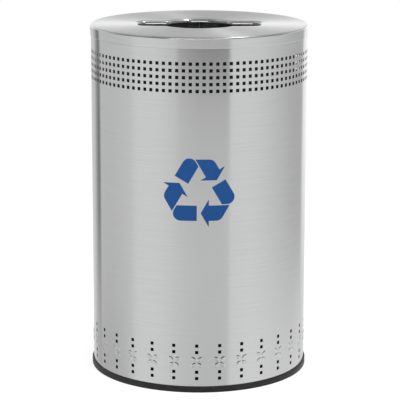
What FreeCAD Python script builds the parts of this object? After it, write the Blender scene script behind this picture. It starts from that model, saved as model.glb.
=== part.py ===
import FreeCAD, Part
import math
import os
import Sketcher

# Round recycling bin: a perforated steel shell on a vinyl floor ring, with a lift-out liner and a lift-off lid.
# Millimetres, +Z up, floor at z = 0, the recycling mark on the front, which faces -Y.

Vector = FreeCAD.Vector
UP = Vector(0, 0, 1)
AXIS_FOOT = Vector(0, 0, 0)

os.makedirs("parts", exist_ok=True)
doc = FreeCAD.newDocument("recycling_bin")
sheet = doc.addObject("Spreadsheet::Sheet", "Sizes")

# Driving dimensions: alias, value, meaning
SIZES = (
    ("shell_radius", "302", "outside radius of the shell"),
    ("shell_wall", "1", "shell sheet"),
    ("hole_side", "9.4", "side of every square hole"),
    ("column_turn", "-1", "turn of the hole columns from the front, degrees"),
    ("band_columns", "104", "columns of holes round the upper band"),
    ("band_rows", "5", "rows of holes in the upper band"),
    ("band_row_pitch", "18.2", "height from row to row in the upper band"),
    ("band_top_row", "907", "height of the upper band's highest row"),
    ("foot_columns", "30", "columns of the pattern above the floor ring"),
    ("foot_height", "85.4", "height of the rosettes' centres"),
    ("foot_near_hole", "28.3", "rosette centre to the nearer hole above and below"),
    ("foot_far_hole", "46.2", "rosette centre to the farther hole above and below"),
    ("petal_start", "2.2", "rosette centre to the near end of a petal"),
    ("petal_length", "18.6", "petal, end to end"),
    ("petal_width", "10.4", "petal, across its middle"),
    ("petal_rise", "1", "height of the pressed petal above the shell"),
    ("petal_root", "0.3", "depth to which a petal runs into the sheet"),
    ("hoop_width", "16", "shelf of the top hoop"),
    ("hoop_depth", "22", "leg of the top hoop"),
    ("hoop_wall", "1.5", "sheet of the top hoop"),
    ("pan_height", "30", "height of the base pan's floor"),
    ("pan_wall", "1.2", "sheet of the base pan"),
    ("pan_bend", "5", "outside bend of the base pan"),
    ("ring_height", "16", "floor ring, floor to top"),
    ("ring_base", "5", "floor ring below the shell's edge"),
    ("ring_wall", "4.4", "floor ring outside the shell"),
    ("ring_inner_wall", "3.5", "floor ring inside the base pan"),
    ("ring_round", "1.5", "rounding of the floor ring's outer edges"),
    ("ring_fit", "0.1", "clearance between the floor ring and the sheet"),
    ("seat_gap", "0.3", "clearance under a piece that lifts off"),
    ("liner_height", "885", "liner, base to rim"),
    ("liner_top_radius", "270", "outside radius of the liner under its rim"),
    ("liner_foot_radius", "255", "outside radius of the liner at its base"),
    ("liner_wall", "3", "wall of the liner"),
    ("liner_bend", "22", "outside bend round the liner's base"),
    ("rim_width", "9", "overhang of the liner's rim"),
    ("rim_drop", "15", "turned-down edge of the liner's rim"),
    ("rim_round", "2.5", "outside rounding of the liner's rim"),
    ("grip_width", "112", "hand hold in the liner, end to end"),
    ("grip_height", "36", "hand hold in the liner, top to bottom"),
    ("grip_drop", "50", "liner rim to the middle of the hand hold"),
    ("lid_crest", "978", "height of the lid's rim above the floor"),
    ("lid_radius", "304.5", "outside radius of the lid's skirt"),
    ("lid_wall", "1", "lid sheet"),
    ("lid_bend", "5", "outside bend from the lid's top to its skirt"),
    ("lid_skirt", "31", "lid rim to the skirt's edge"),
    ("opening_radius", "101.5", "round part of the lid's opening"),
    ("slot_length", "340", "slot of the lid's opening, end to end"),
    ("slot_width", "102", "slot of the lid's opening, across"),
    ("slot_corner", "27", "corner radius of the slot's ends"),
    ("opening_blend", "16", "radius of the corners between slot and circle"),
    ("lip_round", "9", "bend from the lid's top into the opening"),
    ("lip_depth", "11", "depth of the opening's turned-down edge"),
    ("overcut", "1", "how far a cutter runs past the sheet"),
    ("bumper_count", "6", "rubber bumpers under the lid"),
    ("bumper_radius", "5", "radius of a bumper"),
    ("bumper_height", "3", "height of a bumper"),
    ("mark_height", "561", "height of the recycling mark's centre"),
    ("mark_film", "0.3", "film of the recycling mark"),
    ("mark_glue", "0.1", "glue under the film"),
    ("mark_inner", "36.5", "mark centre to the inner edge of each band"),
    ("mark_band", "42", "width of the mark's bands"),
    ("mark_reach", "89.5", "mark centre to the flat edge where a band folds"),
    ("mark_tail", "5.8", "start of a band past the foot of its perpendicular"),
    ("mark_head", "26.5", "arrow head's base ahead of the foot of its perpendicular"),
    ("mark_barb", "17", "arrow head's overhang on each side"),
    ("mark_gap", "2.5", "gap between the two pieces of an arrow"),
    ("mark_round", "20", "rounding where a band folds"),
)
for row, (alias, value, meaning) in enumerate(SIZES, start=1):
    sheet.set("A%d" % row, meaning)
    sheet.set("B%d" % row, value)
    sheet.setAlias("B%d" % row, alias)
doc.recompute()


def size(alias):
    """A driving dimension as a number."""
    return float(sheet.get(alias))


def number(expression):
    """The value of an expression on the sheet."""
    value = sheet.evalExpression(expression)
    return float(getattr(value, "Value", value))


# Places shared by several pieces, as expressions on the sheet
SHELL_INSIDE = "(Sizes.shell_radius - Sizes.shell_wall)"
LID_EDGE = "(Sizes.lid_radius - Sizes.lid_bend)"
BUMPER_CIRCLE = "(%s - Sizes.hoop_width / 2)" % SHELL_INSIDE
LID_UNDERSIDE = "(Sizes.lid_crest - Sizes.lid_wall)"
HOOP_TOP = "(%s - Sizes.seat_gap - Sizes.bumper_height)" % LID_UNDERSIDE
LINER_FOOT = "(Sizes.pan_height + Sizes.seat_gap)"
LINER_RIM = "(%s + Sizes.liner_height)" % LINER_FOOT
LID_HEM = "(Sizes.lid_crest - Sizes.lid_skirt)"


def new_body(name):
    body = doc.addObject("PartDesign::Body", name)
    body.Label = name
    return body


def origin_item(body, role):
    return next(item for item in body.Origin.OriginFeatures if item.Role == role)


def new_sketch(body, name, role, height="0"):
    """An empty sketch on one of the body's origin planes, raised along the plane's normal."""
    sketch = body.newObject("Sketcher::SketchObject", name)
    sketch.AttachmentSupport = (origin_item(body, role), [""])
    sketch.MapMode = "FlatFace"
    sketch.setExpression("AttachmentOffset.Base.z", height)
    return sketch


def pin_corner(sketch, edge, end, axis, expression):
    """Ties one coordinate of an edge's end to the sheet."""
    if expression == "0":
        line = -2 if axis == "DistanceX" else -1
        sketch.addConstraint(Sketcher.Constraint("PointOnObject", edge, end, line))
        return
    index = sketch.addConstraint(Sketcher.Constraint(axis, -1, 1, edge, end, number(expression)))
    sketch.setExpression("Constraints[%d]" % index, expression)


def arc_between(start, end, radius, turn):
    """The short arc from start to end that turns left (1) or right (-1), drawn anticlockwise."""
    chord = end - start
    across = Vector(-chord.y, chord.x, 0).normalize()
    rise = math.sqrt(max(radius ** 2 - (chord.Length / 2) ** 2, 0))
    centre = (start + end) / 2 + across * (turn * rise)
    first, last = (start, end) if turn > 0 else (end, start)
    begin = math.atan2(first.y - centre.y, first.x - centre.x)
    finish = math.atan2(last.y - centre.y, last.x - centre.x)
    return Part.ArcOfCircle(Part.Circle(centre, UP, radius), begin, finish)


def draw_outline(sketch, corners, arcs):
    """A closed outline: corners as pairs of expressions, arcs as {corner: (radius, turn)} from that corner on."""
    points = [Vector(number(x), number(y), 0) for x, y in corners]
    ends = []
    for index, start in enumerate(points):
        end = points[(index + 1) % len(points)]
        if index in arcs:
            radius, turn = arcs[index]
            edge = sketch.addGeometry(arc_between(start, end, number(radius), turn), False)
            ends.append((edge, 1, 2) if turn > 0 else (edge, 2, 1))
        else:
            edge = sketch.addGeometry(Part.LineSegment(start, end), False)
            ends.append((edge, 1, 2))
    for index, (edge, _, finish) in enumerate(ends):
        following, entry, _ = ends[(index + 1) % len(ends)]
        sketch.addConstraint(Sketcher.Constraint("Coincident", edge, finish, following, entry))
    for (edge, begin, _), (x, y) in zip(ends, corners):
        pin_corner(sketch, edge, begin, "DistanceX", x)
        pin_corner(sketch, edge, begin, "DistanceY", y)
    for index, (radius, _) in arcs.items():
        place = sketch.addConstraint(Sketcher.Constraint("Radius", ends[index][0], number(radius)))
        sketch.setExpression("Constraints[%d]" % place, radius)


def draw_circle(sketch, radius):
    edge = sketch.addGeometry(Part.Circle(AXIS_FOOT, UP, number(radius)), False)
    sketch.addConstraint(Sketcher.Constraint("Coincident", edge, 3, -1, 1))
    place = sketch.addConstraint(Sketcher.Constraint("Radius", edge, number(radius)))
    sketch.setExpression("Constraints[%d]" % place, radius)


def revolve(body, name, corners, arcs=None):
    """Turns a section, drawn as radius and height, about the bin's axis."""
    sketch = new_sketch(body, name + "_section", "XZ_Plane")
    draw_outline(sketch, corners, arcs or {})
    turned = body.newObject("PartDesign::Revolution", name)
    turned.Profile = sketch
    turned.ReferenceAxis = (sketch, ["V_Axis"])
    turned.Angle = 360
    return turned


def cut_through(body, name, sketch):
    """A pocket through the whole body on both sides of its sketch, which has to take material away."""
    doc.recompute()
    before = body.Shape.Volume
    pocket = body.newObject("PartDesign::Pocket", name)
    pocket.Profile = sketch
    pocket.SideType = "Symmetric"
    pocket.Type = "ThroughAll"
    doc.recompute()
    if not body.Shape.Volume < before:
        raise RuntimeError("%s cuts nothing" % name)
    return pocket


def ring_of(shape, count, turn=0.0):
    """Copies of a shape evenly round the bin's axis."""
    copies = []
    for index in range(count):
        copy = shape.copy()
        copy.rotate(AXIS_FOOT, UP, turn + 360.0 * index / count)
        copies.append(copy)
    return Part.makeCompound(copies)


def tube(inner, outer, low, high):
    """A plain tube about the bin's axis."""
    outside = Part.makeCylinder(outer, high - low, Vector(0, 0, low))
    return outside.cut(Part.makeCylinder(inner, high - low, Vector(0, 0, low)))


# Outer shell
# The sheet is turned as a plain tube. Its 640 holes and 120 petals are too many for a feature pattern,
# so one set is made at the front, copied round the axis and cut or fused in a single step.

def punch(height):
    """A square cutter through the front wall at a height."""
    side = size("hole_side")
    depth = size("shell_wall") + 2 * size("overcut")
    front = size("shell_radius") + size("overcut")
    return Part.makeBox(side, depth, side, Vector(-side / 2, -front, height - side / 2))


def petal(angle):
    """A pressed petal on the front wall: a leaf between two arcs, lying out from the rosette's centre."""
    along = Vector(math.cos(angle), 0, math.sin(angle))
    across = Vector(-math.sin(angle), 0, math.cos(angle))
    centre = Vector(0, 0, size("foot_height"))
    near = centre + along * size("petal_start")
    far = near + along * size("petal_length")
    middle = (near + far) / 2
    side = across * (size("petal_width") / 2)
    leaf = Part.Wire([Part.Arc(near, middle + side, far).toShape(), Part.Arc(far, middle - side, near).toShape()])
    return Part.Face(leaf).extrude(Vector(0, -2 * size("shell_radius"), 0))


def rosette():
    """Four petals on the diagonals, between the sheet and its pressed height."""
    reach = size("petal_start") + size("petal_length")
    skin = tube(size("shell_radius") - size("petal_root"), size("shell_radius") + size("petal_rise"),
                size("foot_height") - reach, size("foot_height") + reach)
    diagonals = [math.radians(45 + 90 * quarter) for quarter in range(4)]
    return Part.makeCompound([skin.common(petal(angle)) for angle in diagonals])


def punched_shell(blank):
    band_heights = [size("band_top_row") - row * size("band_row_pitch") for row in range(int(size("band_rows")))]
    foot_steps = (size("foot_far_hole"), size("foot_near_hole"), -size("foot_near_hole"), -size("foot_far_hole"))
    foot_heights = [size("foot_height") + step for step in foot_steps]
    turn = size("column_turn")
    band = ring_of(Part.makeCompound([punch(z) for z in band_heights]), int(size("band_columns")), turn)
    foot = ring_of(Part.makeCompound([punch(z) for z in foot_heights]), int(size("foot_columns")), turn)
    rosettes = ring_of(rosette(), int(size("foot_columns")), turn)
    petals = [solid for group in rosettes.SubShapes for solid in group.Solids]
    cutters = [box for group in band.SubShapes + foot.SubShapes for box in group.Solids]
    return blank.fuse(petals).cut(Part.makeCompound(cutters))


shell_blank = new_body("shell_blank")
revolve(shell_blank, "shell_wrap", (
    (SHELL_INSIDE, "Sizes.ring_base"),
    ("Sizes.shell_radius", "Sizes.ring_base"),
    ("Sizes.shell_radius", HOOP_TOP),
    (SHELL_INSIDE, HOOP_TOP),
))
doc.recompute()
outer_shell = doc.addObject("Part::Feature", "outer_shell")
outer_shell.Label = "outer_shell"
outer_shell.Shape = punched_shell(shell_blank.Shape).Solids[0]

# Top hoop
# A rolled angle welded inside the shell's upper edge. Its shelf carries the bumpers and the lid.
top_hoop = new_body("top_hoop")
HOOP_FOOT = "(%s - Sizes.hoop_depth)" % HOOP_TOP
HOOP_LEG = "(%s - Sizes.hoop_wall)" % SHELL_INSIDE
HOOP_UNDER = "(%s - Sizes.hoop_wall)" % HOOP_TOP
HOOP_BORE = "(%s - Sizes.hoop_width)" % SHELL_INSIDE
revolve(top_hoop, "rolled_angle", (
    (HOOP_BORE, HOOP_UNDER),
    (HOOP_LEG, HOOP_UNDER),
    (HOOP_LEG, HOOP_FOOT),
    (SHELL_INSIDE, HOOP_FOOT),
    (SHELL_INSIDE, HOOP_TOP),
    (HOOP_BORE, HOOP_TOP),
))

# Bumpers
# Rubber buttons stuck round the hoop's shelf, so that the lid comes down quietly.
bumper = doc.addObject("Part::Cylinder", "bumper")
bumper.setExpression("Radius", "Sizes.bumper_radius")
bumper.setExpression("Height", "Sizes.bumper_height")
bumper.setExpression("Placement.Base.y", "-%s" % BUMPER_CIRCLE)
bumper.setExpression("Placement.Base.z", HOOP_TOP)
doc.recompute()
lid_bumpers = doc.addObject("Part::Feature", "lid_bumpers")
lid_bumpers.Label = "lid_bumpers"
lid_bumpers.Shape = ring_of(bumper.Shape, int(size("bumper_count")))

# Base pan
# A pressed pan, floor up, welded inside the shell's lower edge.
base_pan = new_body("base_pan")
PAN_INSIDE = "(%s - Sizes.pan_wall)" % SHELL_INSIDE
PAN_FLAT = "(%s - Sizes.pan_bend)" % SHELL_INSIDE
PAN_SHOULDER = "(Sizes.pan_height - Sizes.pan_bend)"
PAN_UNDER = "(Sizes.pan_height - Sizes.pan_wall)"
revolve(base_pan, "pressed_pan", (
    ("0", PAN_UNDER),
    (PAN_FLAT, PAN_UNDER),
    (PAN_INSIDE, PAN_SHOULDER),
    (PAN_INSIDE, "Sizes.ring_base"),
    (SHELL_INSIDE, "Sizes.ring_base"),
    (SHELL_INSIDE, PAN_SHOULDER),
    (PAN_FLAT, "Sizes.pan_height"),
    ("0", "Sizes.pan_height"),
), {1: ("Sizes.pan_bend - Sizes.pan_wall", -1), 5: ("Sizes.pan_bend", 1)})

# Floor ring
# A black vinyl channel pushed over the lower edges of the shell and the pan. The bin stands on it.
floor_ring = new_body("floor_ring")
SLOT_OUTSIDE = "(Sizes.shell_radius + Sizes.ring_fit)"
SLOT_INSIDE = "(%s - Sizes.ring_fit)" % PAN_INSIDE
RING_OUTSIDE = "(%s + Sizes.ring_wall)" % SLOT_OUTSIDE
RING_INSIDE = "(%s - Sizes.ring_inner_wall)" % SLOT_INSIDE
RING_SHOULDER = "(%s - Sizes.ring_round)" % RING_OUTSIDE
revolve(floor_ring, "vinyl_channel", (
    (RING_INSIDE, "0"),
    (RING_SHOULDER, "0"),
    (RING_OUTSIDE, "Sizes.ring_round"),
    (RING_OUTSIDE, "Sizes.ring_height - Sizes.ring_round"),
    (RING_SHOULDER, "Sizes.ring_height"),
    (SLOT_OUTSIDE, "Sizes.ring_height"),
    (SLOT_OUTSIDE, "Sizes.ring_base"),
    (SLOT_INSIDE, "Sizes.ring_base"),
    (SLOT_INSIDE, "Sizes.ring_height"),
    (RING_INSIDE, "Sizes.ring_height"),
), {1: ("Sizes.ring_round", 1), 3: ("Sizes.ring_round", 1)})

# Liner
# A tapered black plastic tub with a turned-down rim, standing on the base pan, with a hand hold on each side.
liner = new_body("liner")
RIM_EDGE = "(Sizes.liner_top_radius + Sizes.rim_width)"
LINER_BORE = "(Sizes.liner_top_radius - Sizes.liner_wall)"
LINER_FLAT = "(Sizes.liner_foot_radius - Sizes.liner_bend)"
LINER_FLOOR = "(%s + Sizes.liner_wall)" % LINER_FOOT
LINER_SHOULDER = "(%s + Sizes.liner_bend)" % LINER_FOOT
RIM_UNDER = "(%s - Sizes.liner_wall)" % LINER_RIM
RIM_HEM = "(%s - Sizes.rim_drop)" % LINER_RIM
revolve(liner, "moulded_tub", (
    ("0", LINER_FOOT),
    (LINER_FLAT, LINER_FOOT),
    ("Sizes.liner_foot_radius", LINER_SHOULDER),
    ("Sizes.liner_top_radius", RIM_UNDER),
    ("%s - Sizes.liner_wall" % RIM_EDGE, RIM_UNDER),
    ("%s - Sizes.liner_wall" % RIM_EDGE, RIM_HEM),
    (RIM_EDGE, RIM_HEM),
    (RIM_EDGE, "%s - Sizes.rim_round" % LINER_RIM),
    ("%s - Sizes.rim_round" % RIM_EDGE, LINER_RIM),
    (LINER_BORE, LINER_RIM),
    ("Sizes.liner_foot_radius - Sizes.liner_wall", LINER_SHOULDER),
    (LINER_FLAT, LINER_FLOOR),
    ("0", LINER_FLOOR),
), {1: ("Sizes.liner_bend", 1), 7: ("Sizes.rim_round", 1), 10: ("Sizes.liner_bend - Sizes.liner_wall", -1)})
grips = new_sketch(liner, "hand_hold_outline", "YZ_Plane")
GRIP_MIDDLE = "(%s - Sizes.grip_drop)" % LINER_RIM
GRIP_STRAIGHT = "(Sizes.grip_width / 2 - Sizes.grip_height / 2)"
GRIP_CORNER = "(Sizes.grip_height / 2)"
draw_outline(grips, (
    ("-%s" % GRIP_STRAIGHT, "%s - %s" % (GRIP_MIDDLE, GRIP_CORNER)),
    (GRIP_STRAIGHT, "%s - %s" % (GRIP_MIDDLE, GRIP_CORNER)),
    ("%s + %s" % (GRIP_STRAIGHT, GRIP_CORNER), GRIP_MIDDLE),
    (GRIP_STRAIGHT, "%s + %s" % (GRIP_MIDDLE, GRIP_CORNER)),
    ("-%s" % GRIP_STRAIGHT, "%s + %s" % (GRIP_MIDDLE, GRIP_CORNER)),
    ("-%s - %s" % (GRIP_STRAIGHT, GRIP_CORNER), GRIP_MIDDLE),
), {1: (GRIP_CORNER, 1), 2: (GRIP_CORNER, 1), 4: (GRIP_CORNER, 1), 5: (GRIP_CORNER, 1)})
cut_through(liner, "hand_holds", grips)

# Lid
# One pressed sheet: a flat top with a skirt outside and a turned-down lip round the opening.
# It is the difference of two blanks, the sheet's upper face and its lower face.

def draw_opening(sketch, grow):
    """A circle with a slot across it, grown outwards by an expression."""
    circle = "(Sizes.opening_radius + %s)" % grow
    corner = "(Sizes.slot_corner + %s)" % grow
    blend = "(Sizes.opening_blend - %s)" % grow
    end = "(Sizes.slot_length / 2 + %s)" % grow
    side = "(Sizes.slot_width / 2 + %s)" % grow
    end_line = "(%s - %s)" % (side, corner)
    side_end = "(%s - %s)" % (end, corner)
    blend_x = "sqrt((%s + %s) ^ 2 - (%s + %s) ^ 2)" % (circle, blend, side, blend)
    share = "(%s / (%s + %s))" % (circle, circle, blend)
    touch_x = "(%s * %s)" % (blend_x, share)
    touch_y = "((%s + %s) * %s)" % (side, blend, share)
    quarter = ((end, end_line), (side_end, side), (blend_x, side), (touch_x, touch_y))
    corners = list(quarter)
    corners += [("-" + x, y) for x, y in reversed(quarter)]
    corners += [("-" + x, "-" + y) for x, y in quarter]
    corners += [(x, "-" + y) for x, y in reversed(quarter)]
    arcs = {}
    for start in (0, 8):
        arcs[start] = (corner, 1)
        arcs[start + 2] = (blend, -1)
        arcs[start + 3] = (circle, 1)
        arcs[start + 4] = (blend, -1)
        arcs[start + 6] = (corner, 1)
    draw_outline(sketch, corners, arcs)


def lid_blank(name, sheet_offset, hem):
    """A solid disc with the opening through it and its upper edges rounded, set in by an expression."""
    body = new_body(name)
    outside = "(Sizes.lid_radius - %s)" % sheet_offset
    crest = "(Sizes.lid_crest - %s)" % sheet_offset
    revolve(body, name + "_disc", (
        ("0", hem),
        (outside, hem),
        (outside, "Sizes.lid_crest - Sizes.lid_bend"),
        (LID_EDGE, crest),
        ("0", crest),
    ), {2: ("Sizes.lid_bend - %s" % sheet_offset, 1)})
    opening = new_sketch(body, name + "_opening_outline", "XY_Plane", "Sizes.lid_crest")
    draw_opening(opening, sheet_offset)
    pocket = cut_through(body, name + "_opening", opening)
    floor = number("%s - Sizes.lid_wall" % crest)
    wall = number("%s - Sizes.lid_wall" % LID_EDGE)
    upper_edges = []
    for index, edge in enumerate(pocket.Shape.Edges, start=1):
        bounds = edge.BoundBox
        if bounds.ZMin > floor and max(abs(bounds.XMin), abs(bounds.XMax)) < wall:
            upper_edges.append("Edge%d" % index)
    lip = body.newObject("PartDesign::Fillet", name + "_lip")
    lip.Base = (pocket, upper_edges)
    lip.setExpression("Radius", "Sizes.lip_round - %s" % sheet_offset)
    return body


upper_face = lid_blank("lid_upper_face", "0", LID_HEM)
LID_CUT = "(%s - Sizes.overcut)" % LID_HEM
lower_face = lid_blank("lid_lower_face", "Sizes.lid_wall", LID_CUT)
lip_trim = new_sketch(lower_face, "lip_trim_outline", "XY_Plane", LID_CUT)
draw_circle(lip_trim, "Sizes.slot_length / 2 + Sizes.lip_round + Sizes.lid_wall")
lip_edge = lower_face.newObject("PartDesign::Pad", "lip_trim")
lip_edge.Profile = lip_trim
lip_edge.setExpression("Length", "Sizes.lid_crest - Sizes.lip_depth - %s" % LID_CUT)
lid_cover = doc.addObject("Part::Cut", "lid_cover")
lid_cover.Label = "lid_cover"
lid_cover.Base = upper_face
lid_cover.Tool = lower_face

# Recycling mark
# Three chasing arrows cut from blue film, two pieces to an arrow, laid on the front of the shell.
RISING = Vector(math.cos(math.radians(60)), 0, math.sin(math.radians(60)))
FALLING = Vector(RISING.x, 0, -RISING.z)
RISING_OUT = Vector(-RISING.z, 0, RISING.x)
FALLING_OUT = Vector(RISING.z, 0, RISING.x)


def rounded_face(points, rounds):
    """A flat face through points, with the corners named in rounds replaced by tangent arcs."""
    arcs = []
    stops = []
    count = len(points)
    for index, corner in enumerate(points):
        if index not in rounds:
            stops.append((corner, corner))
            continue
        before = (points[index - 1] - corner).normalize()
        after = (points[(index + 1) % count] - corner).normalize()
        half = math.acos(before.dot(after)) / 2
        setback = rounds[index] / math.tan(half)
        crown = corner + (before + after).normalize() * (rounds[index] / math.sin(half) - rounds[index])
        stops.append((corner + before * setback, corner + after * setback))
        arcs.append(Part.Arc(stops[-1][0], crown, stops[-1][1]).toShape())
    lines = [Part.LineSegment(stops[index - 1][1], stops[index][0]).toShape() for index in range(count)]
    return Part.Face(Part.Wire(Part.__sortEdges__(lines + arcs)))


def meeting(rising_distance, falling_distance):
    """Where a rising edge and a falling edge at these distances from the mark's centre meet."""
    across = (falling_distance - rising_distance) / (2 * RISING.z)
    return Vector(across, 0, rising_distance + falling_distance)


def arrow_faces():
    """The two pieces of the arrow that folds at the top of the mark, about the mark's centre."""
    inner = size("mark_inner")
    outer = inner + size("mark_band")
    neck = FALLING_OUT * inner - FALLING * size("mark_head")
    far_neck = neck + FALLING_OUT * size("mark_band")
    barb = FALLING_OUT * size("mark_barb")
    half_head = size("mark_band") / 2 + size("mark_barb")
    tip = (neck + far_neck) / 2 + FALLING * (half_head / math.tan(math.radians(60)))
    run = (size("mark_reach") - inner * FALLING_OUT.z) / RISING.z
    fold = FALLING_OUT * inner - FALLING * run
    far_fold = fold + Vector(size("mark_band") / RISING.z, 0, 0)
    head = rounded_face([fold, neck, neck - barb, tip, far_neck + barb, far_neck, far_fold], {6: size("mark_round")})
    start = RISING * size("mark_tail")
    fold_edge = inner - size("mark_gap")
    heel = meeting(inner, fold_edge)
    apex = meeting(outer, fold_edge)
    tail = rounded_face([start + RISING_OUT * outer, start + RISING_OUT * inner, heel, apex], {3: size("mark_round")})
    return head, tail


def film_pieces():
    """All six pieces, cut out of a skin on the shell."""
    centre = Vector(0, 0, size("mark_height"))
    reach = size("mark_inner") + 2 * size("mark_band")
    radius = size("shell_radius") + size("mark_glue")
    skin = tube(radius, radius + size("mark_film"), centre.z - reach, centre.z + reach)
    pieces = []
    for third in range(3):
        for face in arrow_faces():
            face.rotate(AXIS_FOOT, Vector(0, -1, 0), 120 * third)
            face.translate(centre)
            pieces += skin.common(face.extrude(Vector(0, -2 * radius, 0))).Solids
    return Part.makeCompound(pieces)


recycling_mark = doc.addObject("Part::Feature", "recycling_mark")
recycling_mark.Label = "recycling_mark"
recycling_mark.Shape = film_pieces()

# Checks and export
PIECES = (outer_shell, top_hoop, lid_bumpers, base_pan, floor_ring, liner, lid_cover, recycling_mark)
doc.recompute()
for item in doc.Objects:
    if "Invalid" in item.State or "Error" in item.State:
        raise RuntimeError("%s failed: %s" % (item.Name, item.State))
for piece in PIECES:
    if piece.Shape.isNull() or not piece.Shape.isValid() or not piece.Shape.Solids:
        raise RuntimeError("%s has no valid solid" % piece.Label)
for piece in PIECES:
    piece.Shape.exportStep("parts/%s.step" % piece.Label)
    print("%-16s %2d solids  %8.1f cm3" % (piece.Label, len(piece.Shape.Solids), piece.Shape.Volume / 1000))
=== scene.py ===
import math

import bmesh
import bpy
from mathutils import Euler, Matrix, Vector


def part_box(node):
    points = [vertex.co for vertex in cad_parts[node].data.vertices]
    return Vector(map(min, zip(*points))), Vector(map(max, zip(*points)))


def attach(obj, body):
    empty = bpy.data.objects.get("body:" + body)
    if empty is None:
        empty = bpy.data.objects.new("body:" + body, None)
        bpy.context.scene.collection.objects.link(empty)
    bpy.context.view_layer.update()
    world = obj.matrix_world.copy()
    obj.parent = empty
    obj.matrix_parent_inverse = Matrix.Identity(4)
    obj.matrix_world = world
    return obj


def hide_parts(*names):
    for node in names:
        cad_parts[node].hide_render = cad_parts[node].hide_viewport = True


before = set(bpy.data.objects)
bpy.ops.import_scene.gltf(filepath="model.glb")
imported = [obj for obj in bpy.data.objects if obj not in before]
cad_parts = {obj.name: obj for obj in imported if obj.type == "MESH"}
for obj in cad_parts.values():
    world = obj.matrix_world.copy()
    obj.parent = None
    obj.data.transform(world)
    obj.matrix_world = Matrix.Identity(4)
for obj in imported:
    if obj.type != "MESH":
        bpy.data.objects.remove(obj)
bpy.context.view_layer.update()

# Base pan
# A pan pressed from galvanised sheet, floor up, welded inside the lower edge of the shell.
# The liner stands on it, and its turned-down edge reaches into the floor ring.
PAN_SHEET = 0.0012
PAN_BEND = 0.005
ZINC_DARK = (0.36, 0.37, 0.38)
ZINC_PALE = (0.52, 0.53, 0.54)
ZINC_ROUGHNESS = 0.3
SPANGLE_SCALE = 90.0
SPANGLE_ROUGHENS = 0.15
STAIN_SCALE = 7.0
STAIN_ROUGHENS = 0.2
SHELL_SHEET = 0.001
RING_PROUD = 0.0045
SHELL_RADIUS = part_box("floor_ring")[1][0] - RING_PROUD
TURN_SEGMENTS = 288
SHARP_FROM = math.radians(38)
ON_AXIS = 1e-9


class Field:
    """A value in a node tree. Arithmetic on it adds Math nodes, and node() adds any other kind."""

    def __init__(self, tree, socket=None):
        self.tree = tree
        self.socket = socket

    def node(self, kind, settings=None, sockets=None, output=0):
        made = self.tree.nodes.new(kind)
        for name, value in (settings or {}).items():
            setattr(made, name, value)
        for name, value in (sockets or {}).items():
            if isinstance(value, Field):
                self.tree.links.new(value.socket, made.inputs[name])
            else:
                made.inputs[name].default_value = value
        return Field(self.tree, made.outputs[output])

    def math(self, operation, *values):
        sockets = dict(enumerate((self,) + values))
        return self.node("ShaderNodeMath", {"operation": operation}, sockets)

    def parts(self):
        split = self.node("ShaderNodeSeparateXYZ", None, {0: self}).socket.node
        return [Field(self.tree, out) for out in split.outputs]

    def vector(self, x, y, z):
        return self.node("ShaderNodeCombineXYZ", None, {0: x, 1: y, 2: z})

    def smooth(self, low, high, start=0.0, end=1.0):
        """Goes smoothly from the start to the end as this value goes from low to high."""
        limits = {"Value": self, "From Min": low, "From Max": high, "To Min": start, "To Max": end}
        return self.node("ShaderNodeMapRange", {"interpolation_type": "SMOOTHSTEP"}, limits)

    def noise(self, scale, detail=2.0, roughness=0.5):
        sockets = {"Vector": self, "Scale": scale, "Detail": detail, "Roughness": roughness}
        return self.node("ShaderNodeTexNoise", None, sockets)

    def between(self, first, second):
        """The colour this share of the way from the first to the second."""
        mix = self.tree.nodes.new("ShaderNodeMix")
        mix.data_type = "RGBA"
        self.tree.links.new(self.socket, mix.inputs["Factor"])
        mix.inputs["A"].default_value = (*first, 1.0)
        mix.inputs["B"].default_value = (*second, 1.0)
        return Field(self.tree, mix.outputs["Result"])

    def __add__(self, other):
        return self.math("ADD", other)

    __radd__ = __add__

    def __sub__(self, other):
        return self.math("SUBTRACT", other)

    def __rsub__(self, other):
        return self.math("MULTIPLY", -1.0) + other

    def __mul__(self, other):
        return self.math("MULTIPLY", other)

    __rmul__ = __mul__

    def __truediv__(self, other):
        return self.math("DIVIDE", other)


def finish_material(name, **constants):
    """A new material with its constant sockets set. Returns it, its shader and its object coordinates."""
    material = bpy.data.materials.new(name)
    material.use_nodes = True
    tree = material.node_tree
    shader = tree.nodes["Principled BSDF"]
    for socket, value in constants.items():
        shader.inputs[socket.replace("_", " ")].default_value = value
    place = Field(tree).node("ShaderNodeTexCoord", None, None, "Object")
    return material, shader, place


def feed(shader, **fields):
    """Links varying values to the shader's sockets."""
    for socket, field in fields.items():
        field.tree.links.new(field.socket, shader.inputs[socket.replace("_", " ")])


def bump(height, depth=1.0, strength=1.0):
    """A bump from a height field, whose unit is the depth in metres."""
    return height.node("ShaderNodeBump", None, {"Height": height, "Distance": depth, "Strength": strength})


def corner_arc(radius_at, height_at, size, first, last, steps=8):
    """Points of an arc in a section, from one angle to another in degrees."""
    points = []
    for step in range(steps + 1):
        angle = math.radians(first + (last - first) * step / steps)
        points.append((radius_at + size * math.cos(angle), height_at + size * math.sin(angle)))
    return points


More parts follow.
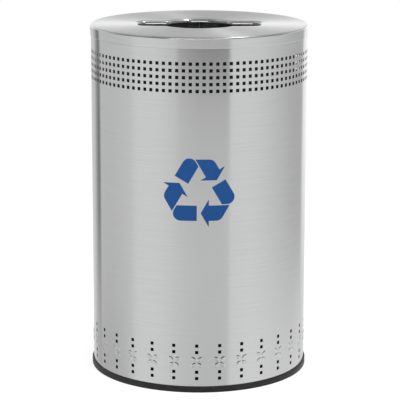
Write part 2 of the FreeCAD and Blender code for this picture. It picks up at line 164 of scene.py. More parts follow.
def turned_mesh(name, section, segments=TURN_SEGMENTS):
    """A closed section of (radius, height) points, listed anticlockwise, turned about the bin's axis."""
    vertices = []
    columns = []
    for radius, height in section:
        if radius < ON_AXIS:
            vertices.append((0.0, 0.0, height))
            columns.append([len(vertices) - 1] * segments)
            continue
        start = len(vertices)
        for step in range(segments):
            angle = 2 * math.pi * step / segments
            vertices.append((radius * math.sin(angle), -radius * math.cos(angle), height))
        columns.append(list(range(start, start + segments)))
    faces = []
    for index, ring in enumerate(columns):
        above = columns[(index + 1) % len(columns)]
        for step in range(segments):
            after = (step + 1) % segments
            corners = []
            for corner in (ring[step], ring[after], above[after], above[step]):
                if corner not in corners:
                    corners.append(corner)
            if len(corners) > 2:
                faces.append(corners)
    mesh = bpy.data.meshes.new(name)
    mesh.from_pydata(vertices, [], faces)
    mesh.validate()
    return mesh


def add_piece(name, mesh, material, body, node):
    """Puts a finished mesh into the scene as the piece that stands for a CAD node."""
    mesh.shade_smooth()
    mesh.set_sharp_from_angle(angle=SHARP_FROM)
    mesh.materials.clear()
    mesh.materials.append(material)
    piece = bpy.data.objects.new(name, mesh)
    bpy.context.collection.objects.link(piece)
    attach(piece, body)
    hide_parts(node)


pan_low, pan_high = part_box("base_pan")
PAN_RADIUS = SHELL_RADIUS - SHELL_SHEET
PAN_TOP = pan_high[2]
PAN_EDGE = pan_low[2]
pan_section = [(0.0, PAN_TOP - PAN_SHEET)]
pan_section += corner_arc(PAN_RADIUS - PAN_BEND, PAN_TOP - PAN_BEND, PAN_BEND - PAN_SHEET, 90, 0)
pan_section += [(PAN_RADIUS - PAN_SHEET, PAN_EDGE), (PAN_RADIUS, PAN_EDGE)]
pan_section += corner_arc(PAN_RADIUS - PAN_BEND, PAN_TOP - PAN_BEND, PAN_BEND, 0, 90)
pan_section += [(0.0, PAN_TOP)]
galvanised, zinc, at = finish_material("galvanised_sheet", Metallic=0.9)
spangle = at.node("ShaderNodeTexVoronoi", None, {"Vector": at, "Scale": SPANGLE_SCALE}, "Color").parts()[0]
stain = at.noise(STAIN_SCALE, detail=4.0)
feed(zinc,
     Base_Color=spangle.between(ZINC_DARK, ZINC_PALE),
     Roughness=stain * STAIN_ROUGHENS + spangle * SPANGLE_ROUGHENS + ZINC_ROUGHNESS)
pan_mesh = turned_mesh("base_pan_sheet", pan_section)
add_piece("base_pan_sheet", pan_mesh, galvanised, "body", "base_pan")

# Outer shell
# Stainless sheet, brushed along its length, punched with square holes and pressed with four-petal rosettes
# while flat, then rolled, butt welded at the back and smoothed.
HOLE = 0.0094
BAND_COLUMNS = 104
BAND_ROWS = 5
BAND_ROW_STEP = 0.0182
BAND_TOP_ROW = 0.907
FOOT_COLUMNS = 30
FOOT_CENTRE = 0.0854
NEAR_HOLE = 0.0283
FAR_HOLE = 0.0462
COLUMN_TURN = math.radians(-1)
PETAL_START = 0.0022
PETAL_LENGTH = 0.0186
PETAL_WIDTH = 0.0104
PETAL_RISE = 0.001
PETAL_EDGE = 0.22
CELLS_PER_BAND_COLUMN = 4
CELLS_PER_FOOT_COLUMN = 14
CELLS_PER_ROW = 4
HOLE_CELLS = 2
EDGE_ROWS = 2
MIDDLE_ROWS = 4
MERGE_WITHIN = 1e-5
ROSETTE_CELLS = 44
ROSETTE_ROWS = 36
ROSETTE_DENSE = 0.88
ROSETTE_SPAN = 0.0162
STEEL_DARK = (0.48, 0.485, 0.49)
STEEL_PALE = (0.66, 0.66, 0.665)
WRAP_ROUGHNESS = 0.07
WRAP_DRAWN_OUT = 0.8
BRUSHED_CROSSWISE = 0.25
HAIR_ALONG = 9.0
HAIR_ACROSS = 1400.0
HAIR_TONE = 0.84
HAIR_ROUGHENS = 0.1
HAIR_DEPTH = 0.000014
STREAK_ALONG = 3.0
STREAK_ACROSS = 160.0
STREAK_TONE = 0.05
CLOUD_SCALE = 3.5
CLOUD_TONE = 0.11
CLOUD_ROUGHENS = 0.06
SEAM_WIDTH = (0.0008, 0.0024)
SEAM_TONE = 0.3
SEAM_ROUGHNESS = 0.12
LEAN_FROM = 0.8
LEAN_RATE = 0.07
SHELL_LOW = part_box("outer_shell")[0][2]
SHELL_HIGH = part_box("outer_shell")[1][2]


def new_tree(name, inputs):
    """An empty geometry tree with named inputs. Returns the tree and its inputs as fields."""
    tree = bpy.data.node_groups.new(name, "GeometryNodeTree")
    kinds = {int: "NodeSocketInt", float: "NodeSocketFloat"}
    for label, kind in inputs.items():
        tree.interface.new_socket(label, in_out="INPUT", socket_type=kinds[kind])
    tree.interface.new_socket("Geometry", in_out="OUTPUT", socket_type="NodeSocketGeometry")
    group = tree.nodes.new("NodeGroupInput")
    return tree, {label: Field(tree, group.outputs[label]) for label in inputs}


def end_tree(geometry, material):
    """Closes a geometry tree with real geometry in its material."""
    whole = geometry.node("GeometryNodeRealizeInstances", None, {"Geometry": geometry})
    dressed = whole.node("GeometryNodeSetMaterial", None, {"Geometry": whole, "Material": material})
    out = geometry.tree.nodes.new("NodeGroupOutput")
    geometry.tree.links.new(dressed.socket, out.inputs["Geometry"])


def grown_mesh(name, tree, values):
    """The plain mesh that a geometry tree makes with these input values."""
    holder = bpy.data.objects.new(name, bpy.data.meshes.new(name))
    bpy.context.collection.objects.link(holder)
    modifier = holder.modifiers.new("grown", "NODES")
    modifier.node_group = tree
    for item in tree.interface.items_tree:
        if item.in_out == "INPUT":
            modifier[item.identifier] = values[item.name]
    return taken_mesh(holder)


def taken_mesh(holder):
    """The evaluated mesh of a helper object, which is then removed."""
    evaluated = holder.evaluated_get(bpy.context.evaluated_depsgraph_get())
    mesh = bpy.data.meshes.new_from_object(evaluated)
    bpy.data.objects.remove(holder)
    return mesh


def rolled(place, inputs, rise=None):
    """The place of a flat sheet's point, in cells from the middle, once the sheet is rolled."""
    x, y, _ = place.parts()
    turn = (x / inputs["Columns"] + 0.5) * (2 * math.pi) + inputs["Start"]
    radius = inputs["Radius"] if rise is None else inputs["Radius"] + rise
    height = inputs["Low"] + (y / inputs["Rows"] + 0.5) * (inputs["High"] - inputs["Low"])
    return place.vector(radius * turn.math("SINE"), radius * turn.math("COSINE") * -1.0, height)


def flat_sheet(inputs):
    """A grid with cells of one unit, and its points' places."""
    columns = inputs["Columns"]
    rows = inputs["Rows"]
    sizes = {"Size X": columns, "Size Y": rows, "Vertices X": columns + 1, "Vertices Y": rows + 1}
    grid = columns.node("GeometryNodeMeshGrid", None, sizes)
    return grid, grid.node("GeometryNodeInputPosition")


SHEET_INPUTS = {"Radius": float, "Low": float, "High": float, "Start": float, "Columns": int, "Rows": int}


def punched_tree(material):
    """A rolled strip of sheet with a square hole, two cells each way, in every block of cells."""
    blocks = {"Column Block": int, "Row Block": int, "Column Hole": int, "Row Hole": int}
    tree, inputs = new_tree("punched_strip", {**SHEET_INPUTS, **blocks})
    grid, place = flat_sheet(inputs)
    x, y, _ = place.parts()
    inside = None
    for along, count, line in ((x, "Columns", "Column"), (y, "Rows", "Row")):
        from_edge = along + inputs[count] * 0.5
        cell = from_edge.math("FLOORED_MODULO", inputs[line + " Block"]) - inputs[line + " Hole"]
        hit = cell.math("GREATER_THAN", 0.0) * cell.math("LESS_THAN", float(HOLE_CELLS))
        inside = hit if inside is None else inside * hit
    cut = {"Geometry": grid, "Selection": inside}
    sheet = grid.node("GeometryNodeDeleteGeometry", {"domain": "FACE"}, cut)
    curved = rolled(place, inputs)
    sheet = sheet.node("GeometryNodeSetPosition", None, {"Geometry": sheet, "Position": curved})
    sheet = sheet.node("GeometryNodeMergeByDistance", None, {"Geometry": sheet, "Distance": MERGE_WITHIN})
    end_tree(sheet, material)
    return tree


def gather(place, half, span):
    """Moves most of a block's grid lines, counted from its middle, to within a span of the middle."""
    knee = half * ROSETTE_DENSE
    far = place.math("ABSOLUTE")
    near_part = far.math("MINIMUM", knee) * (span / knee)
    far_part = (far - knee).math("MAXIMUM", 0.0) * ((half - span) / (half - knee))
    return place.math("SIGN") * (near_part + far_part)


def pressed_tree(material):
    """A rolled strip of sheet with a four-petal rosette pressed outwards in every block of cells."""
    petals = {"Repeats": int, "Span": float, "Petal Start": float, "Petal Length": float,
              "Petal Width": float, "Petal Rise": float}
    tree, inputs = new_tree("pressed_strip", {**SHEET_INPUTS, **petals})
    grid, place = flat_sheet(inputs)
    x, y, _ = place.parts()
    block = inputs["Columns"] / inputs["Repeats"]
    cell = inputs["Radius"] * (2 * math.pi) / inputs["Columns"]
    row = (inputs["High"] - inputs["Low"]) / inputs["Rows"]
    local = (x + inputs["Columns"] * 0.5).math("FLOORED_MODULO", block) - block * 0.5
    gathered = gather(local, block * 0.5, inputs["Span"] / cell)
    x = x - local + gathered
    y = gather(y, inputs["Rows"] * 0.5, inputs["Span"] / row)
    across = gathered * cell
    up = y * row
    p = across.math("ABSOLUTE")
    q = up.math("ABSOLUTE")
    along = (p + q) * math.sqrt(0.5) - inputs["Petal Start"] - inputs["Petal Length"] * 0.5
    share = along / (inputs["Petal Length"] * 0.5)
    half_width = (1 - share * share) * inputs["Petal Width"] * 0.5
    side = ((q - p) * math.sqrt(0.5)).math("ABSOLUTE")
    depth = ((half_width - side) / inputs["Petal Width"]).smooth(0.0, PETAL_EDGE)
    curved = rolled(place.vector(x, y, 0.0), inputs, depth * inputs["Petal Rise"])
    sheet = grid.node("GeometryNodeSetPosition", None, {"Geometry": grid, "Position": curved})
    sheet = sheet.node("GeometryNodeMergeByDistance", None, {"Geometry": sheet, "Distance": MERGE_WITHIN})
    end_tree(sheet, material)
    return tree


def brushed_steel(name, streak_place, roughness, drawn_out, rough_from=None, seam_at=None, lean_at=None):
    """Stainless steel brushed one way: streaks in colour, roughness and bump, and drawn out highlights.

    The finish may change with height, show a weld, or follow a slight lean of the sheet.
    """
    material, shader, at = finish_material(name, Metallic=1.0, Anisotropic=drawn_out,
                                           Anisotropic_Rotation=BRUSHED_CROSSWISE)
    fine, coarse = streak_place(at)
    hair = fine.noise(1.0, detail=3.0, roughness=0.7)
    streak = coarse.noise(1.0)
    cloud = at.noise(CLOUD_SCALE, detail=3.0)
    tone = hair * HAIR_TONE + streak * STREAK_TONE + cloud * CLOUD_TONE
    if rough_from:
        roughness = at.parts()[2].smooth(*rough_from, WRAP_ROUGHNESS, roughness)
    if seam_at:
        seam = seam_at(at)
        tone = tone - seam * SEAM_TONE
        roughness = seam * SEAM_ROUGHNESS + roughness
    relief = hair * HAIR_DEPTH
    if lean_at:
        relief = relief - lean_at(at)
    feed(shader,
         Base_Color=tone.between(STEEL_DARK, STEEL_PALE),
         Roughness=hair * HAIR_ROUGHENS + cloud * CLOUD_ROUGHENS + roughness,
         Normal=bump(relief))
    return material


def streaked(x, y, across):
    """Places for fine hairs and broad streaks, which change fast only across the brushing."""
    return (x.vector(x * HAIR_ALONG, y * HAIR_ALONG, across * HAIR_ACROSS),
            x.vector(x * STREAK_ALONG, y * STREAK_ALONG, across * STREAK_ACROSS))


def wrap_streaks(at):
    """Places stretched round the shell, so that noise on them draws level lines."""
    return streaked(*at.parts())


def back_seam(at):
    """One along the dressed weld down the middle of the back, and nothing elsewhere."""
    x, y, _ = at.parts()
    return x.math("ABSOLUTE").smooth(*SEAM_WIDTH, 1.0, 0.0) * y.math("GREATER_THAN", 0.0)


def hoop_lean(at):
    """How far the sheet leans in towards the hoop that it is welded to, in metres."""
    over = (at.parts()[2] - LEAN_FROM).math("MAXIMUM", 0.0)
    return over * over * LEAN_RATE


steel_wrap = brushed_steel("brushed_wrap", wrap_streaks, WRAP_ROUGHNESS, WRAP_DRAWN_OUT,
                           seam_at=back_seam, lean_at=hoop_lean)
punched = punched_tree(steel_wrap)
pressed = pressed_tree(steel_wrap)


def strip_face(radius, low, high, columns, rows, repeat=0, block_rows=1, hole_row=0):
    """One face of a strip of the wrap between two heights, with a hole in every block if it repeats."""
    hole = repeat // 2 - 1
    values = {"Radius": radius, "Low": low, "High": high, "Columns": columns, "Rows": rows,
              "Column Block": repeat or 1, "Column Hole": hole if repeat else 1,
              "Row Block": block_rows, "Row Hole": hole_row,
              "Start": COLUMN_TURN - 2 * math.pi * (hole + 1) / columns}
    return grown_mesh("strip", punched, values)


def strip(*layout):
    """A strip of the wrap in its real thickness."""
    holder = bpy.data.objects.new("strip", strip_face(SHELL_RADIUS, *layout))
    bpy.context.collection.objects.link(holder)
    thick = holder.modifiers.new("sheet", "SOLIDIFY")
    thick.thickness = SHELL_SHEET
    thick.offset = -1.0
    return taken_mesh(holder)


def rosette_strip(low, high):
    """The outer face of the strip with the rosettes."""
    columns = FOOT_COLUMNS * ROSETTE_CELLS
    values = {"Radius": SHELL_RADIUS, "Low": low, "High": high, "Columns": columns, "Rows": ROSETTE_ROWS,
              "Start": COLUMN_TURN - math.pi / FOOT_COLUMNS, "Repeats": FOOT_COLUMNS,
              "Span": ROSETTE_SPAN, "Petal Start": PETAL_START, "Petal Length": PETAL_LENGTH,
              "Petal Width": PETAL_WIDTH, "Petal Rise": PETAL_RISE}
    return grown_mesh("rosettes", pressed, values)


half_hole = HOLE / 2
lower_pair = (FOOT_CENTRE - FAR_HOLE - half_hole, FOOT_CENTRE - NEAR_HOLE + half_hole)
upper_pair = (FOOT_CENTRE + NEAR_HOLE - half_hole, FOOT_CENTRE + FAR_HOLE + half_hole)
band = (BAND_TOP_ROW - (BAND_ROWS - 0.5) * BAND_ROW_STEP, BAND_TOP_ROW + 0.5 * BAND_ROW_STEP)
plain_columns = BAND_COLUMNS * CELLS_PER_BAND_COLUMN
foot_columns = FOOT_COLUMNS * CELLS_PER_FOOT_COLUMN
pair_layout = (foot_columns, CELLS_PER_ROW + HOLE_CELLS, CELLS_PER_FOOT_COLUMN, CELLS_PER_ROW, 0)
band_layout = (plain_columns, BAND_ROWS * CELLS_PER_ROW, CELLS_PER_BAND_COLUMN, CELLS_PER_ROW, 1)
rosette_back = strip_face(PAN_RADIUS, lower_pair[1], upper_pair[0], foot_columns, 1)
rosette_back.flip_normals()
shell_strips = [
    strip(SHELL_LOW, lower_pair[0], plain_columns, EDGE_ROWS),
    strip(*lower_pair, *pair_layout),
    rosette_strip(lower_pair[1], upper_pair[0]),
    rosette_back,
    strip(*upper_pair, *pair_layout),
    strip(upper_pair[1], band[0], plain_columns, MIDDLE_ROWS),
    strip(*band, *band_layout),
    strip(band[1], SHELL_HIGH, plain_columns, EDGE_ROWS),
]
joined = bmesh.new()
for part in shell_strips:
    joined.from_mesh(part)
shell_mesh = bpy.data.meshes.new("shell_wrap")
joined.to_mesh(shell_mesh)
joined.free()
add_piece("shell_wrap", shell_mesh, steel_wrap, "body", "outer_shell")

# Floor ring
# A black vinyl channel, extruded and cut to length, pushed over the lower edges of the shell and the pan.
# The bin stands on it, so its foot carries scuffs.
RING_ROUND = 0.0015
RING_OUTER_WALL = 0.0044
RING_INNER_WALL = 0.0035
RING_FIT = 0.0001
VINYL_DARK = (0.011, 0.011, 0.012)
VINYL_WORN = (0.03, 0.03, 0.031)
VINYL_WEAR = (0.35, 0.8)
VINYL_ROUGHNESS = 0.25
SCUFF_SCALE = 60.0
SCUFF_TONE = 0.7
SCUFF_ROUGHENS = 0.25
DIE_LINE_ALONG = 8.0
DIE_LINE_ACROSS = 700.0
DIE_LINE_TONE = 0.3
DIE_LINE_ROUGHENS = 0.12
VINYL_GRAIN_SCALE = 1800.0
VINYL_RELIEF = 0.00004
RING_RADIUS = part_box("floor_ring")[1][0]
RING_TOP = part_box("floor_ring")[1][2]
SLOT_OUTSIDE = RING_RADIUS - RING_OUTER_WALL
SLOT_INSIDE = PAN_RADIUS - PAN_SHEET - RING_FIT
ring_section = [(SLOT_INSIDE - RING_INNER_WALL, 0.0)]
ring_section += corner_arc(RING_RADIUS - RING_ROUND, RING_ROUND, RING_ROUND, -90, 0)
ring_section += corner_arc(RING_RADIUS - RING_ROUND, RING_TOP - RING_ROUND, RING_ROUND, 0, 90)
ring_section += [(SLOT_OUTSIDE, RING_TOP), (SLOT_OUTSIDE, SHELL_LOW), (SLOT_INSIDE, SHELL_LOW),
                 (SLOT_INSIDE, RING_TOP), (SLOT_INSIDE - RING_INNER_WALL, RING_TOP)]
vinyl, vinyl_shader, at = finish_material("black_vinyl", Specular_IOR_Level=0.25)
scuff = at.noise(SCUFF_SCALE, detail=5.0, roughness=0.65)
grain = at.noise(VINYL_GRAIN_SCALE)
x, y, z = at.parts()
die_line = at.vector(x * DIE_LINE_ALONG, y * DIE_LINE_ALONG, z * DIE_LINE_ACROSS).noise(1.0, detail=3.0)
wear = (scuff * SCUFF_TONE + die_line * DIE_LINE_TONE).smooth(*VINYL_WEAR)
feed(vinyl_shader,
     Base_Color=wear.between(VINYL_DARK, VINYL_WORN),
     Roughness=scuff * SCUFF_ROUGHENS + die_line * DIE_LINE_ROUGHENS + VINYL_ROUGHNESS,
     Normal=bump(grain + die_line, VINYL_RELIEF, strength=0.5))
floor_ring_mesh = turned_mesh("vinyl_floor_ring", ring_section)
add_piece("vinyl_floor_ring", floor_ring_mesh, vinyl, "body", "floor_ring")

# Top hoop
# A rolled steel angle, galvanised, spot welded inside the upper edge of the shell.
# Its leg stiffens the edge and its shelf carries the lid.
HOOP_WIDTH = 0.016
HOOP_SHEET = 0.0015
hoop_low, hoop_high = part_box("top_hoop")
HOOP_BORE = PAN_RADIUS - HOOP_WIDTH
hoop_section = [(HOOP_BORE, hoop_high[2] - HOOP_SHEET), (PAN_RADIUS - HOOP_SHEET, hoop_high[2] - HOOP_SHEET),
                (PAN_RADIUS - HOOP_SHEET, hoop_low[2]), (PAN_RADIUS, hoop_low[2]),
                (PAN_RADIUS, hoop_high[2]), (HOOP_BORE, hoop_high[2])]
hoop_mesh = turned_mesh("rolled_top_hoop", hoop_section)
add_piece("rolled_top_hoop", hoop_mesh, galvanised, "body", "top_hoop")

# Lid bumpers
# Small buttons moulded in black rubber, stuck at even steps round the hoop's shelf.
# The lid comes down on them quietly and stays clear of the hoop.
BUMPER_COUNT = 6
BUMPER_RADIUS = 0.005
BUMPER_ROUND = 0.0008
BUMPER_SIDES = 32
BUMPER_LEVELS = 6
BUMPER_TOP_RINGS = 3
RUBBER_DARK = (0.018, 0.018, 0.018)
RUBBER_DUSTY = (0.045, 0.044, 0.043)
RUBBER_ROUGHNESS = 0.6
DUST_SCALE = 120.0
DUST_ROUGHENS = 0.2
bumper_low, bumper_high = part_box("lid_bumpers")
BUMPER_HEIGHT = bumper_high[2] - bumper_low[2]
BUMPER_CIRCLE = PAN_RADIUS - HOOP_WIDTH / 2
rubber, rubber_shader, at = finish_material("bumper_rubber")
dust = at.noise(DUST_SCALE, detail=4.0)
feed(rubber_shader,
     Base_Color=dust.between(RUBBER_DARK, RUBBER_DUSTY),
     Roughness=dust * DUST_ROUGHENS + RUBBER_ROUGHNESS)


def button_tree(material):
    """Rounded buttons at even steps round a circle."""
    tree, inputs = new_tree("button_ring", {"Count": int, "Circle": float, "Radius": float, "Height": float,
                                            "Round": float, "Foot": float})
    count = inputs["Count"]
    ring = count.node("GeometryNodeMeshCircle", None, {"Vertices": count, "Radius": inputs["Circle"]})
    lift = ring.vector(0.0, 0.0, inputs["Foot"] + inputs["Height"] * 0.5)
    ring = ring.node("GeometryNodeSetPosition", None, {"Geometry": ring, "Offset": lift})
    sizes = {"Vertices": BUMPER_SIDES, "Side Segments": BUMPER_LEVELS, "Fill Segments": BUMPER_TOP_RINGS,
             "Radius": inputs["Radius"], "Depth": inputs["Height"]}
    button = ring.node("GeometryNodeMeshCylinder", None, sizes)
    x, y, z = button.node("GeometryNodeInputPosition").parts()
    near_top = z.smooth(inputs["Height"] * 0.5 - inputs["Round"] * 2.0, inputs["Height"] * 0.5)
    shrink = 1 - near_top * inputs["Round"] / inputs["Radius"]
    domed = z.vector(x * shrink, y * shrink, z)
    button = button.node("GeometryNodeSetPosition", None, {"Geometry": button, "Position": domed})
    end_tree(ring.node("GeometryNodeInstanceOnPoints", None, {"Points": ring, "Instance": button}), material)
    return tree


buttons = grown_mesh("lid_buttons", button_tree(rubber), {
    "Count": BUMPER_COUNT, "Circle": BUMPER_CIRCLE, "Radius": BUMPER_RADIUS, "Height": BUMPER_HEIGHT,
    "Round": BUMPER_ROUND, "Foot": bumper_low[2]})
# The first button belongs at the back, a quarter turn from where the circle starts.
quarter_turned = [(-vertex.co.y, vertex.co.x, vertex.co.z) for vertex in buttons.vertices]
for vertex, place in zip(buttons.vertices, quarter_turned):
    vertex.co = place
add_piece("lid_buttons", buttons, rubber, "body", "lid_bumpers")

# Recycling mark
# Three chasing arrows die cut from blue self-adhesive film, two pieces to an arrow with a gap at the fold.
# They are smoothed onto the front of the shell and follow its curve.
MARK_HEIGHT = 0.561
MARK_FILM = 0.0003
MARK_INNER = 0.0365
MARK_BAND = 0.042
MARK_REACH = 0.0895
MARK_TAIL = 0.0058
MARK_HEAD = 0.0265
MARK_BARB = 0.017
MARK_GAP = 0.0025
MARK_ROUND = 0.02
MARK_ROUND_STEPS = 10
MARK_HALF_POINT = math.radians(60)
MARK_ARROWS = 3
FILM_GLUE = 0.0001
FILM_RADIUS = SHELL_RADIUS + FILM_GLUE
FILM_STEP = 0.003
FILM_ROUGHNESS = 0.4
INK_DARK = (0.007, 0.054, 0.195)
INK_PALE = (0.011, 0.068, 0.235)
INK_SCALE = 26.0
INK_ROUGHENS = 0.12
SKIN_SCALE = 700.0
SKIN_DEPTH = 0.00003
film, film_shader, at = finish_material("blue_film", Specular_IOR_Level=0.2)
ink = at.noise(INK_SCALE, detail=3.0)
skin = at.noise(SKIN_SCALE)
feed(film_shader,
     Base_Color=ink.between(INK_DARK, INK_PALE),
     Roughness=ink * INK_ROUGHENS + FILM_ROUGHNESS,
     Normal=bump(skin, SKIN_DEPTH, strength=0.3))


def rounded_outline(corners):
    """A flat outline with its last corner replaced by a tangent arc."""
    corner = corners[-1]
    before = (corners[-2] - corner).normalized()
    after = (corners[0] - corner).normalized()
    half = before.angle(after) / 2
    middle = corner + (before + after).normalized() * (MARK_ROUND / math.sin(half))
    entry = corner + before * (MARK_ROUND / math.tan(half)) - middle
    leave = corner + after * (MARK_ROUND / math.tan(half)) - middle
    shares = [step / MARK_ROUND_STEPS for step in range(MARK_ROUND_STEPS + 1)]
    return corners[:-1] + [middle + entry.slerp(leave, share) * MARK_ROUND for share in shares]


def arrow_outlines():
    """Head and tail of the arrow that folds at the top of the mark, about the mark's centre."""
    rising = Vector((0.5, 0.0, math.sqrt(0.75)))
    falling = Vector((0.5, 0.0, -math.sqrt(0.75)))
    rising_out = Vector((-rising.z, 0.0, rising.x))
    falling_out = Vector((rising.z, 0.0, rising.x))
    outer = MARK_INNER + MARK_BAND
    neck = falling_out * MARK_INNER - falling * MARK_HEAD
    far_neck = neck + falling_out * MARK_BAND
    barb = falling_out * MARK_BARB
    tip = (neck + far_neck) / 2 + falling * ((MARK_BAND / 2 + MARK_BARB) / math.tan(MARK_HALF_POINT))
    run = (MARK_REACH - MARK_INNER * falling_out.z) / rising.z
    fold = falling_out * MARK_INNER - falling * run
    far_fold = fold + Vector((MARK_BAND / rising.z, 0.0, 0.0))
    head = rounded_outline([fold, neck, neck - barb, tip, far_neck + barb, far_neck, far_fold])
    fold_edge = MARK_INNER - MARK_GAP
    heel = Vector(((fold_edge - MARK_INNER) / (2 * rising.z), 0.0, MARK_INNER + fold_edge))
    apex = Vector(((fold_edge - outer) / (2 * rising.z), 0.0, outer + fold_edge))
    start = rising * MARK_TAIL
    tail = rounded_outline([start + rising_out * outer, start + rising_out * MARK_INNER, heel, apex])
    return head, tail


def film_mesh():
    """All six pieces as film of its real thickness, curved to the shell."""
    sheet = bmesh.new()
    for arrow in range(MARK_ARROWS):
        angle = 2 * math.pi * arrow / MARK_ARROWS
        for outline in arrow_outlines():
            corners = []
            for point in outline:
                x = point.x * math.cos(angle) - point.z * math.sin(angle)
                z = point.x * math.sin(angle) + point.z * math.cos(angle)
                corners.append(sheet.verts.new((x, 0.0, z)))
            sheet.faces.new(corners)
    reach = MARK_INNER + 2 * MARK_BAND
    lines = int(2 * reach / FILM_STEP)
    for line in range(lines + 1):
        everything = sheet.verts[:] + sheet.edges[:] + sheet.faces[:]
        at_x = -reach + line * FILM_STEP
        bmesh.ops.bisect_plane(sheet, geom=everything, plane_co=(at_x, 0, 0), plane_no=(1, 0, 0))
    for vertex in sheet.verts:
        vertex.co.y = -math.sqrt(FILM_RADIUS ** 2 - vertex.co.x ** 2)
        vertex.co.z += MARK_HEIGHT
    for face in sheet.faces:
        face.normal_update()
        if face.normal.y > 0:
            face.normal_flip()
    mesh = bpy.data.meshes.new("arrow_film")
    sheet.to_mesh(mesh)
    sheet.free()
    holder = bpy.data.objects.new("arrow_film", mesh)
    bpy.context.collection.objects.link(holder)
    thick = holder.modifiers.new("film", "SOLIDIFY")
    thick.thickness = MARK_FILM
    thick.offset = 1.0
    return taken_mesh(holder)


add_piece("arrow_film", film_mesh(), film, "body", "recycling_mark")

# Liner
# A tapered tub moulded in black polyethylene with a turned-down rim. It stands loose on the base pan.
# A hand hold through the wall on each side lifts it out.
LINER_WALL = 0.003
LINER_BEND = 0.022
LINER_TOP_RADIUS = 0.27
LINER_FOOT_RADIUS = 0.255
RIM_WIDTH = 0.009
RIM_DROP = 0.015
RIM_ROUND = 0.0025
GRIP_WIDTH = 0.112
GRIP_HEIGHT = 0.036
GRIP_DROP = 0.05
GRIP_STEPS = 16
TUB_DARK = (0.014, 0.014, 0.015)
TUB_WORN = (0.034, 0.034, 0.036)
TUB_WEAR = (0.4, 0.85)
TUB_ROUGHNESS = 0.42
SCRATCH_ACROSS = 240.0
SCRATCH_ALONG = 14.0
SCRATCH_ROUGHENS = 0.2
PEEL_SCALE = 900.0
PEEL_DEPTH = 0.00006
liner_low, liner_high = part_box("liner")
LINER_FOOT = liner_low[2]
LINER_RIM = liner_high[2]
RIM_EDGE = LINER_TOP_RADIUS + RIM_WIDTH
foot_bend = (LINER_FOOT_RADIUS - LINER_BEND, LINER_FOOT + LINER_BEND)
liner_section = [(0.0, LINER_FOOT)]
liner_section += corner_arc(*foot_bend, LINER_BEND, -90, 0)
liner_section += [(LINER_TOP_RADIUS, LINER_RIM - LINER_WALL), (RIM_EDGE - LINER_WALL, LINER_RIM - LINER_WALL),
                  (RIM_EDGE - LINER_WALL, LINER_RIM - RIM_DROP), (RIM_EDGE, LINER_RIM - RIM_DROP)]
liner_section += corner_arc(RIM_EDGE - RIM_ROUND, LINER_RIM - RIM_ROUND, RIM_ROUND, 0, 90)
liner_section += [(LINER_TOP_RADIUS - LINER_WALL, LINER_RIM)]
liner_section += corner_arc(*foot_bend, LINER_BEND - LINER_WALL, 0, -90)
liner_section += [(0.0, LINER_FOOT + LINER_WALL)]
tub_plastic, tub_shader, at = finish_material("black_tub_plastic", Specular_IOR_Level=0.4)
orange_peel = at.noise(PEEL_SCALE)
x, y, z = at.parts()
upright = at.vector(x * SCRATCH_ACROSS, y * SCRATCH_ACROSS, z * SCRATCH_ALONG)
scratches = upright.noise(1.0, detail=4.0, roughness=0.7)
feed(tub_shader,
     Base_Color=scratches.smooth(*TUB_WEAR).between(TUB_DARK, TUB_WORN),
     Roughness=scratches * SCRATCH_ROUGHENS + TUB_ROUGHNESS,
     Normal=bump(orange_peel, PEEL_DEPTH, strength=0.4))


def grip_cutter(middle):
    """A bar with round ends that cuts both hand holds at once."""
    half = (GRIP_WIDTH - GRIP_HEIGHT) / 2
    outline = corner_arc(half, middle, GRIP_HEIGHT / 2, -90, 90, GRIP_STEPS)
    outline += corner_arc(-half, middle, GRIP_HEIGHT / 2, 90, 270, GRIP_STEPS)
    bar = bmesh.new()
    ends = [[bar.verts.new((x, across, up)) for across, up in outline] for x in (-RIM_EDGE, RIM_EDGE)]
    bar.faces.new(list(reversed(ends[0])))
    bar.faces.new(ends[1])
    for index in range(len(outline)):
        after = (index + 1) % len(outline)
        bar.faces.new((ends[0][index], ends[0][after], ends[1][after], ends[1][index]))
    bmesh.ops.recalc_face_normals(bar, faces=bar.faces)
    mesh = bpy.data.meshes.new("grip_cutter")
    bar.to_mesh(mesh)
    bar.free()
    return mesh


tub = bpy.data.objects.new("liner_blank", turned_mesh("liner_blank", liner_section))
cutter = bpy.data.objects.new("grip_cutter", grip_cutter(LINER_RIM - GRIP_DROP))
bpy.context.collection.objects.link(tub)
bpy.context.collection.objects.link(cutter)
holds = tub.modifiers.new("hand_holds", "BOOLEAN")
holds.operation = "DIFFERENCE"
holds.solver = "EXACT"
holds.object = cutter
liner_mesh = taken_mesh(tub)
bpy.data.objects.remove(cutter)
add_piece("liner_tub", liner_mesh, tub_plastic, "liner", "liner")

# Lid
# Stainless sheet pressed to a slightly dished cap with a rolled rim and a skirt drawn in to a rounded hem.
# The opening, a circle with a slot across it, has its edge turned down over a round lip.
# The top is brushed in rings on a turntable. The lid sits loose on the bumpers.
LID_SHEET = 0.001
LID_BEND = 0.005
LID_DISH = 0.0012
LID_ROLL = 0.0005
LID_ROLL_FROM = 0.262
SKIRT_DRAWN_IN = 0.0008
HEM_ROUND = 0.0015
SKIRT_GUARD = 0.0008
OPENING_RADIUS = 0.1015
SLOT_HALF = 0.17
SLOT_SIDE = 0.051
SLOT_CORNER = 0.027
OPENING_BLEND = 0.016
LIP_ROUND = 0.009
LIP_DEPTH = 0.011
LIP_ARC = (100, 180)
LIP_STEPS = 9
INSIDE_BEND_FROM = 80
LID_RINGS = 18
SLOT_END_STEPS = 5
SLOT_CORNER_STEPS = 12
SLOT_SIDE_STEPS = 8
BLEND_STEPS = 10
CIRCLE_STEPS = 32
LID_ROUGHNESS = 0.26
LID_DRAWN_OUT = 0.86
lid_low, lid_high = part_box("lid_cover")
LID_RADIUS = lid_high[0]
LID_TOP = lid_high[2]
LID_HEM = lid_low[2]


